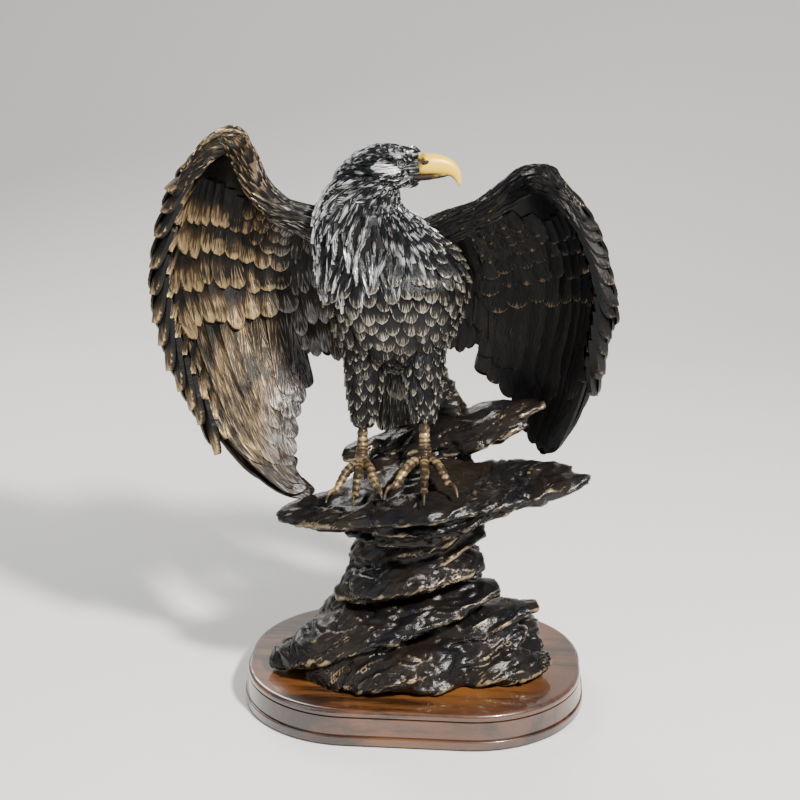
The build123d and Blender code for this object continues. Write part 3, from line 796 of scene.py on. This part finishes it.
def eyeFinish():
    paint = Paint("eyeBronze")
    cloud = paint.noise(700, 3)
    ring = paint.value("wear")
    colour = paint.blend(ring * 0.8 + cloud * 0.1, (0.008, 0.008, 0.009), (0.45, 0.42, 0.36))
    return paint.finish(Base_Color=colour, Roughness=cloud * 0.1 + 0.12, Metallic=0.3, Coat_Weight=0.8,
                        Normal=paint.bump(cloud, 0.0001, 0.4), Coat_Roughness=0.08)


eyeMetal = eyeFinish()
for side, away in (("right", -1), ("left", 1)):
    centre = over((eyeX, faceY + away * eye["out"], eyeRise))
    axis = (eye["forward"], away, eye["upward"])
    casting = Casting(side + "Eye")
    points, faces = lathe(eye["ball"], centre, axis)
    casting.add(points, faces, wear=np.repeat(eye["ballRub"], 24))
    points, faces = lathe(eye["lid"], centre - (0, away * 0.2, 0), axis)
    casting.add(points, faces, wear=np.repeat(eye["lidRub"], 24))
    casting.place(eyeMetal, "eye_bronze", side + "_eye", crease=180)


legs = {  # the sole, the hip and the toe tips, with heights from the perch
    "right": {"sole": (-29, -28, 10), "hip": (-28, -8, 84),
              "toes": [(-43, -52, -2), (-30, -58, -3), (-17, -52, 1), (-30, -12, 5)]},
    "left": {"sole": (8, -29, 14), "hip": (5, -8, 84),
             "toes": [(-9, -56, 3), (10, -62, 2), (25, -53, 4), (9, -12, 10)]},
}
kneeShare = 0.33
thighHalf = [5.2, 8.0, 10.0, 11.2, 12.6, 14]
thighFeathers = {"half": (2.5, 3.6), "length": (9.5, 12), "lift": (1.4, 1.7), "camber": 0.6, "ridge": 0.35,
                 "bend": 0.035, "glow": 1.0}
foot = {"shank": (3.2, 3.0, 3.9), "toe": (2.5, 2.7, 1.8), "rings": 8, "shankDepth": 0.10, "toeDepth": 0.11,
        "ankle": (4.4, 4.8, 4.0), "knuckle": 3.2, "nail": (1.5, 1.8),
        "hook": [(-3.0, 0.6), (2.0, 1.4), (5.2, -1.0), (6.4, -4.0)]}  # past the toe's tip, and its height
footFinish = bronzePaint("feet", feathered=False, grain=0.6)


def ringed(path, sizes, ringsAlong, depth, around=16):  # a toe or shank with scutes across it
    share = np.linspace(0, 1, ringsAlong * 5 + 1)
    line = curve(path, share)
    size = curve(np.array(sizes, float)[:, None], share)[:, 0]
    beat = np.abs(np.sin(share * ringsAlong * np.pi)) ** 0.6
    size = size * (1 - depth + depth * 1.6 * beat)
    points, faces = tube(line, size, size, (0, 0.3, 1), around)
    points = points + random.normal(0, 0.12, points.shape)
    return points, faces, np.repeat(0.15 + 0.5 * beat**2, around)


for side, leg in legs.items():
    sole, hip = over(leg["sole"]), over(leg["hip"])
    knee = sole + (hip - sole) * kneeShare
    top = hip + (hip - knee) * 0.1
    line = curve([knee - (hip - knee) * 0.06, knee + (hip - knee) * 0.5, top], np.linspace(0, 1, 20))
    halves = curve(np.array(thighHalf, float)[:, None], np.linspace(0, 1, 20))[:, 0]
    points, faces = fuse([tube(line, halves, halves * 1.05, (0, 1, 0), 24)], 1.5, 2)

    def thighPlan(points):
        down = np.broadcast_to(unit(knee - hip), points.shape)
        grown = smooth(knee[2], knee[2] + 30, points[:, 2])
        size = grownFeathers("leaf", thighFeathers, grown)
        return down, size, points[:, 2] > knee[2] - 3

    thigh = Casting(side + "Thigh")
    thigh.add(points, faces)
    plumage(thigh, points, faces, thighPlan, 9)
    thigh.place(torsoFinish, "feather_bronze", side + "_leg")

    casting = Casting(side + "Foot")
    shankLine = [knee + (0, 0, 3), (knee + sole) / 2 + (0, -0.5, 0), sole + (0, 0, 3)]
    points, faces, wear = ringed(shankLine, foot["shank"], foot["rings"], foot["shankDepth"])
    casting.add(points, faces, wear=wear)
    ankle = sole + (0, 0, 2.0)
    casting.add(*egg(ankle, foot["ankle"]), wear=0.4)
    for toe in leg["toes"]:
        tip = over(toe) + (0, 0, 1.4)
        away = unit((tip - sole) * (1, 1, 0))
        toeLine = [ankle, (ankle + tip) / 2 + (0, 0, foot["knuckle"]), tip - away * 2]
        points, faces, wear = ringed(toeLine, foot["toe"], foot["rings"], foot["toeDepth"])
        casting.add(points, faces, wear=wear)
        nail = curve([tip + away * past + (0, 0, high) for past, high in foot["hook"]], np.linspace(0, 1, 14))
        taper = np.linspace(1, 0.05, 14) ** 0.7
        wide, thick = foot["nail"]
        casting.add(*tube(nail, wide * taper, thick * taper, (0, 0, 1), 12),
                    wear=0.3 + 0.5 * np.repeat(1 - taper, 12))
    casting.place(footFinish, "rubbed_bronze", side + "_foot", crease=75)


tailLine = [(-11, 16, 78), (-10, 28, 54), (-9, 36, 28), (-8, 42, 4)]
tailHalf = 17
tailLayers = [(7, 0.05, 1.0), (6, 0.0, 0.62), (5, 0.0, 0.36)]  # feathers, and where they start and end
tail = Casting("tail")
for layer, (count, start, end) in enumerate(tailLayers):
    for face in (-1, 1):
        for k in range(count):
            spread = (k / (count - 1) - 0.5) * 2
            share = np.linspace(start, end - 0.07 * spread**2, 9)
            path = curve([over(point) for point in tailLine], share)
            path[:, 0] += spread * tailHalf * (0.35 + 0.65 * share)
            path[:, 1] += 2.5 * spread**2
            normal = unit(np.array([0.25 * spread * face, face * 0.95, face * 0.3]))
            heading = unit(np.gradient(path, axis=0))
            row = np.broadcast_to(normal, path.shape)
            trace = [path + row * (0.8 + 0.5 * layer), np.cross(heading, row), row]
            feather(tail, "quill" if layer == 0 else "covert", trace, 5.2, lift=0.9, camber=0.7, sink=2.2,
                    roll=0.06, ridge=0.5)
tail.place(torsoFinish, "feather_bronze", "tail")


# Each line runs from the wing's arm down its inner face to a feather tip, the first along the leading
# edge and the last along the trailing edge: X, Y and height from the perch.
wings = {
    "right": {
        "away": -1,
        "lines": [
            [(-106, -20, 195), (-128, -29, 172), (-140, -35, 132), (-139, -37, 96),
             (-128, -38, 64), (-107, -38, 25), (-75, -34, -3), (-57, -30, -9)],
            [(-101, -10, 190), (-118, 4, 165), (-127, 4, 125), (-122, 0, 89),
             (-111, -7, 58), (-95, -17, 28), (-78, -26, 6), (-66, -27, -3)],
            [(-95, -1, 176), (-104, 15, 155), (-110, 20, 122), (-105, 17, 88),
             (-98, 10, 61), (-87, -1, 36), (-78, -11, 18), (-72, -16, 8)],
            [(-84, 5, 156), (-90, 15, 140), (-92, 21, 116), (-88, 20, 91),
             (-83, 16, 68), (-78, 10, 49), (-75, 4, 36), (-73, 0, 28)],
            [(-68, 8, 146), (-74, 15, 132), (-76, 22, 114), (-74, 24, 94),
             (-71, 22, 78), (-69, 20, 64), (-67, 18, 56), (-66, 16, 49)],
        ],
        "backLines": [(-58, 10, 144), (-56, 24, 120), (-50, 30, 92), (-44, 31, 60)],
    },
    "left": {
        "away": 1,
        "lines": [
            [(75, -18, 175), (90, -27, 158), (100, -32, 138), (106, -34, 114),
             (104, -31, 88), (100, -20, 62), (93, -4, 34), (83, 13, 10)],
            [(69, -10, 174), (85, -6, 151), (94, -4, 131), (97, 1, 107),
             (96, 6, 82), (92, 11, 57), (86, 15, 32), (77, 18, 8)],
            [(60, -2, 168), (74, 10, 146), (82, 15, 127), (84, 20, 102),
             (82, 24, 80), (78, 26, 57), (74, 27, 35), (69, 24, 18)],
            [(46, 5, 153), (56, 15, 137), (62, 22, 118), (63, 28, 97),
             (61, 32, 78), (60, 34, 60), (57, 34, 46), (55, 32, 36)],
            [(26, 8, 141), (33, 16, 127), (37, 24, 110), (37, 28, 92),
             (37, 30, 78), (36, 32, 68), (35, 32, 61), (34, 32, 56)],
        ],
        "backLines": [(18, 10, 139), (20, 24, 118), (20, 30, 92), (18, 31, 64)],
    },
}
armRows = {  # X, Y, height from the perch and radius
    "right": [(-40, 6, 136, 11), (-63, 6, 146, 9), (-78, 4, 152, 7.6), (-91, 0, 166, 7.2),
              (-97, -9, 184, 7.2), (-104, -18, 195, 7.0), (-117, -27, 187, 5), (-131, -31, 168, 3.2)],
    "left": [(-2, 6, 133, 11), (19, 6, 144, 9), (38, 4, 152.5, 7.6), (53, -1, 165, 7.2),
             (64, -10, 174, 7.2), (74, -18, 174, 6.6), (87, -27, 162, 5), (98, -31, 146, 3.2)],
}
armEnds = {"shoulder": 11, "wrist": (9.5, 8.5, 8.0), "wristAt": 27, "tip": 3.4}  # radii, and the row of 40
thickness = 5.0
armStrands = {"half": (1.5, 2.0), "length": (17, 12), "lift": (0.5, 0.5), "camber": 0.8, "ridge": 0.3,
              "bend": 0.08, "glow": 0.8}


class Sheet:  # a wing's inner face as lines of points, read at any share along and across
    def __init__(self, lines, towards):
        self.lines = np.array([[over(point) for point in line] for line in lines])
        self.towards = towards

    def at(self, along, across):
        ways = weights(along, self.lines.shape[1]), weights(across, self.lines.shape[0])
        return np.einsum("ns,nt,tsk->nk", *ways, self.lines)

    def frame(self, along, across, face):
        along, across = np.broadcast_arrays(np.asarray(along, float), np.asarray(across, float))
        step = 0.01
        heading = unit(self.at(along + step, across) - self.at(along - step, across))
        cross = unit(self.at(along, across + step) - self.at(along, across - step))
        normal = unit(np.cross(heading, cross))
        normal = normal * np.sign(normal @ self.towards)[:, None]
        depth = thickness * smooth(0, 0.08, across) * smooth(1, 0.93, across) * smooth(1.02, 0.8, along)
        middle = self.at(along, across) - normal * (depth / 2)[:, None]
        normal = normal * face
        return middle + normal * (depth / 2)[:, None], np.cross(heading, normal), normal

    def shell(self):
        along, across = np.meshgrid(np.linspace(0, 0.97, 60), np.linspace(0.01, 0.99, 36), indexing="ij")
        front = self.frame(along.ravel(), across.ravel(), 1)[0].reshape(60, 36, 3)
        back = self.frame(along.ravel(), across.ravel(), -1)[0].reshape(60, 36, 3)
        return skinRings(np.concatenate([front, back[:, ::-1]], 1))


def layRow(casting, sheet, face, kind, start, end, half, gap, lift=1.3, camber=0.6, ridge=0.35, roll=0.0,
           first=0.0, last=1.0, glow=1.0, hover=0.0):
    probe = np.linspace(first, last, 60)
    line = sheet.at(np.full(60, (start + end) / 2), probe)
    run = np.r_[0, np.cumsum(np.linalg.norm(np.diff(line, axis=0), axis=1))]
    count = max(2, int(round(run[-1] / gap)))
    offset = random.random() * 0.5
    for k in range(count):
        across = np.interp((k + 0.25 + offset * 0.5) * run[-1] / count, run, probe)
        jitter = (end - start) * random.normal(0, 0.05)
        share = np.linspace(start + jitter, end + jitter, 7)
        drift = random.normal(0, 0.012)
        trace = sheet.frame(share, across + drift * np.linspace(-0.3, 1, 7), face)
        trace = (trace[0] + trace[2] * hover, *trace[1:])
        wide, high = half * random.uniform(0.92, 1.08), lift * random.uniform(0.85, 1.15)
        feather(casting, kind, trace, wide, high, camber, ridge, lift + 1.0, roll=roll * face, glow=glow)


edgeRanks = [  # how far in from the edge, how far it faces out and forward, and the feathers' length
    (0.02, 0.7, 0.75, 26),
    (0.01, 0.85, -0.5, 25),
    (0.09, 0.35, -0.9, 22),
]
edgeFeathers = {"first": 0.03, "last": 0.62, "count": 13, "outwards": 0.26, "half": (6.2, 5.0),
                "lift": (2.4, 1.4), "curl": 2.0}
quillRows = [
    {"start": 0.5, "end": 1.0, "half": 6.6, "gap": 8.6, "lift": 0.7, "camber": 0.45, "ridge": 0.45,
     "roll": 0.07, "first": 0.04, "last": 0.98, "glow": 0.45},
    {"start": 0.34, "end": 0.8, "half": 6.8, "gap": 10.0, "lift": 1.1, "camber": 0.5, "ridge": 0.45,
     "roll": 0.09, "first": 0.06, "last": 1.0, "glow": 0.5, "hover": 0.4},
]
bridgeRows = [(0.45, 1.0, 5.2, 7), (0.25, 0.7, 5, 7), (0.1, 0.5, 4.6, 7), (-0.05, 0.3, 4.2, 6.5)]
covertRows = [  # start and end along the sheet, half width, gap, lift, and where each begins under the wrist
    (-0.02, 0.075, 4.2, 6.6, 1.8, 0.74),
    (0.03, 0.12, 4.5, 7.0, 1.9, 0.66),
    (0.075, 0.165, 4.9, 7.6, 2.1, 0.54),
    (0.12, 0.22, 5.3, 8.4, 2.3, 0.05),
    (0.165, 0.285, 6.0, 9.6, 2.6, 0.05),
    (0.22, 0.36, 6.8, 10.8, 2.9, 0.05),
    (0.29, 0.46, 7.4, 12.0, 3.2, 0.05),
]

for side, wing in wings.items():
    away = wing["away"]
    # the left wing takes the darker finish, painted shade; the right wing takes the lit one
    paint = bronzePaint(side + "Wing", cool=(-0.095, -0.072) if side == "right" else None)
    sheet = Sheet(wing["lines"], np.array([0.0, -1.0, 0.0]))

    quills = Casting(side + "WingQuills")
    coverts = Casting(side + "WingCoverts")
    shellPoints, shellFaces = sheet.shell()
    # the inner sheet is unrubbed dark patina, and black as painted shade in the hollow under the wrist that
    # the covert rows leave bare
    quills.add(shellPoints, shellFaces, wear=-2.0)
    for face in (1, -1):
        for row in quillRows:
            layRow(quills, sheet, face, "quill", **row)
        for start, end, half, gap, lift, first in reversed(covertRows):
            kind = "covert" if half > 5.2 else "scallop"
            layRow(coverts, sheet, face, kind, start, end, half, gap, lift, 0.9,
                   hover=0.6, first=first if face > 0 else 0.05, last=0.99)

    # two ranks of broad feathers that fold over the leading edge, and one on the face beside them
    for rank, (inset, outside, front, reach) in enumerate(edgeRanks):
        spread = np.linspace(edgeFeathers["first"], edgeFeathers["last"], edgeFeathers["count"])
        for share in spread + 0.02 * (rank % 2):
            share = share + random.normal(0, 0.004)
            length = (reach + 8 * share) * random.uniform(0.9, 1.1)
            spot = sheet.frame([share, share + 0.03], [inset, inset], 1)[0]
            heading = unit(unit(spot[1] - spot[0]) + (away * edgeFeathers["outwards"], -0.03, 0))
            outward = unit(np.array([away * outside, front, 0.2]))
            facing = unit(outward - heading * (outward @ heading))
            curl = edgeFeathers["curl"] * np.linspace(0, 1, 7)[:, None] ** 2 * np.array([-away, 0, 0])
            path = spot[0] - heading * 4 + heading * np.linspace(0, length, 7)[:, None] + curl + facing * 1.2
            row = np.broadcast_to(facing, path.shape)
            trace = path, np.cross(np.broadcast_to(heading, path.shape), row), row
            if rank == 2:
                run = np.linspace(share - 0.01, share + 0.1, 7)
                trace = sheet.frame(run, np.linspace(inset + 0.04, 0.02, 7), 1)
            wide, high = [between(edgeFeathers[name], share) for name in ("half", "lift")]
            feather(coverts, "covert", trace, wide, high, camber=1.4, ridge=0.4, sink=2.6, bend=0.02, glow=0.8)

    # a darker layer of feathers between the wing and the back: rubbed less (glow 0.6) as painted shade between
    # the parts
    inner = [wing["lines"][-1][row] for row in (0, 2, 4, 5)]
    bridge = Sheet([inner, wing["backLines"]], np.array([0.0, -1.0, 0.0]))
    for face in (1, -1):
        for start, end, half, gap in bridgeRows:
            layRow(coverts, bridge, face, "covert", start, end, half, gap, 1.4,
                   first=-0.1, last=1.15, glow=0.6)

    arm = Casting(side + "WingArm")
    rows = np.array([(*over(row[:3]), row[3]) for row in armRows[side]])
    table = curve(rows, np.linspace(0, 1, 40))
    armShells = [
        tube(table[:, :3], table[:, 3], table[:, 3], (0, 0, 1), 24),
        egg(table[armEnds["wristAt"], :3], armEnds["wrist"]),
        egg(table[-1, :3], np.full(3, armEnds["tip"])),
        egg(table[0, :3], np.full(3, armEnds["shoulder"])),
    ]
    armPoints, armFaces = fuse(armShells, 1.5, 3)
    run = unit(np.gradient(table[:, :3], axis=0))

    def armPlan(points):
        nearest = np.array([np.argmin(((table[:, :3] - p) ** 2).sum(1)) for p in points])
        size = grownFeathers("hackle", armStrands, nearest / (len(table) - 1))
        return run[nearest], size, np.ones(len(points), bool)

    arm.add(armPoints, armFaces, wear=0.2)
    plumage(arm, armPoints, armFaces, armPlan, 6)
    arm.place(paint, "feather_bronze", side + "_wing_arm")
    coverts.place(paint, "feather_bronze", side + "_wing_coverts")
    quills.place(paint, "feather_bronze", side + "_wing_quills")


woodLook = {"dark": (0.012, 0.005, 0.003), "brown": (0.068, 0.025, 0.011), "amber": (0.23, 0.088, 0.019)}


def woodFinish():
    paint = Paint("lacqueredWood")
    warp = paint.noise(9, 2, vector=paint.stretched(1, 3, 3))
    grain = paint.noise(22, 6, 0.6, vector=paint.stretched(1, 9, 5))
    fine = paint.noise(160, 3, 0.6, vector=paint.stretched(1, 14, 8))
    figure = ((grain * 6 + warp * 7).sine() * 0.5 + 0.5) * 0.5 + fine * 0.5
    place = paint.stretched(1, 1.25, 0)
    fromMiddle = paint.node("ShaderNodeVectorMath", {"operation": "LENGTH"}, {0: place}, 1)
    glow = (fromMiddle + (paint.noise(16, 3) - 0.5) * 0.05).step(0.112, 0.058)
    colour = paint.blend(figure.step(0.2, 0.8), woodLook["dark"], woodLook["brown"])
    colour = paint.blend(glow * figure.step(0.15, 0.75) * 0.85, colour, woodLook["amber"])
    return paint.finish(Base_Color=colour, Roughness=fine * 0.12 + 0.26,
                        Normal=paint.bump(fine, 0.00008, 0.4), Coat_Weight=1.0, Coat_Roughness=0.06,
                        Coat_IOR=1.55)


def feltFinish():
    paint = Paint("baize")
    fuzz = paint.noise(1400, 4, 0.7)
    cloud = paint.noise(60, 3)
    colour = paint.blend(fuzz * 0.6 + cloud * 0.4, (0.012, 0.022, 0.016), (0.05, 0.075, 0.055))
    return paint.finish(Base_Color=colour, Roughness=fuzz * 0.1 + 0.88, Normal=paint.bump(fuzz, 0.0004, 1.0),
                        Sheen_Weight=0.4)


def turnedFinish(name, base, metal=1.0):
    paint = Paint(name)
    rings = paint.noise(500, 3, 0.5, vector=paint.stretched(1, 1, 12))
    cloud = paint.noise(120, 3)
    colour = paint.blend(cloud.step(0.3, 0.8) * 0.5, base, tuple(channel * 0.55 for channel in base))
    return paint.finish(Base_Color=colour, Roughness=rings * 0.2 + 0.22, Metallic=metal,
                        Normal=paint.bump(rings, 0.00008, 0.5))


carried = {
    "felt_pad": feltFinish(),
    "plinth": woodFinish(),
    "rock_inserts": turnedFinish("turnedBrass", (0.72, 0.52, 0.24)),
}
steel = turnedFinish("turnedSteel", (0.56, 0.56, 0.57))
for node in ("plinth_screws", "plinth_washers", "rock_dowels", "right_leg_rod", "left_leg_rod",
             "right_wing_dowel", "left_wing_dowel"):
    carried[node] = steel
for node, material in carried.items():
    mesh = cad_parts[node].data
    mesh.materials.clear()
    mesh.materials.append(material)
print("finishes on carried nodes")


def stageFloor():  # a floor that sweeps up behind into a backdrop
    paint = Paint("paleFloor")
    speck = paint.noise(140, 3)
    colour = paint.blend(speck, (0.76, 0.75, 0.73), (0.80, 0.79, 0.77))
    bend = np.linspace(0, np.pi / 2, 24)
    profile = np.r_[[(-3.0, 0.0)], np.c_[0.9 + 1.6 * np.sin(bend), 1.6 - 1.6 * np.cos(bend)], [(2.5, 4.0)]]
    points = [(x, y, z) for y, z in profile for x in (-6.0, 6.0)]
    faces = [(2 * k, 2 * k + 1, 2 * k + 3, 2 * k + 2) for k in range(len(profile) - 1)]
    floorMesh = bpy.data.meshes.new("floor")
    floorMesh.from_pydata(points, [], faces)
    for face in floorMesh.polygons:
        face.use_smooth = True
    floorMesh.materials.append(paint.finish(Base_Color=colour, Roughness=0.6 + speck * 0.1))
    floor = bpy.data.objects.new("floor", floorMesh)
    bpy.context.scene.collection.objects.link(floor)


lights = {  # where it stands in metres, where it aims, size, power and colour
    "key": ((0.75, -0.95, 1.25), (0, 0, 0.2), 0.16, 74, (1.0, 0.97, 0.92)),
    "fill": ((-1.2, -0.9, 0.7), (0, 0, 0.2), 1.0, 5, (0.92, 0.95, 1.0)),
    "rim": ((-0.6, 0.9, 1.0), (0, 0, 0.25), 0.6, 12, (1.0, 0.98, 0.95)),
}


def addLights():
    for name, (place, target, size, power, colour) in lights.items():
        lamp = bpy.data.lights.new(name, "AREA")
        lamp.size, lamp.energy, lamp.color = size, power, colour
        holder = bpy.data.objects.new(name, lamp)
        holder.location = place
        holder.rotation_euler = (Vector(target) - Vector(place)).to_track_quat("-Z", "Y").to_euler()
        bpy.context.scene.collection.objects.link(holder)
    world = bpy.data.worlds.new("studio")
    world.use_nodes = True
    world.node_tree.nodes["Background"].inputs["Color"].default_value = (0.92, 0.94, 1.0, 1)
    world.node_tree.nodes["Background"].inputs["Strength"].default_value = 0.42
    bpy.context.scene.world = world


camera = {"place": (0.0634, -0.8276, 0.427), "pitch": -16.0, "yaw": 5.0, "lens": 65.25, "sensor": 36.0}


def addCamera():
    lens = bpy.data.cameras.new("camera")
    lens.lens, lens.sensor_width = camera["lens"], camera["sensor"]
    holder = bpy.data.objects.new("camera", lens)
    holder.location = camera["place"]
    holder.rotation_euler = (math.radians(90 + camera["pitch"]), 0, math.radians(camera["yaw"]))
    bpy.context.scene.collection.objects.link(holder)
    bpy.context.scene.camera = holder


stageFloor()
addLights()
addCamera()
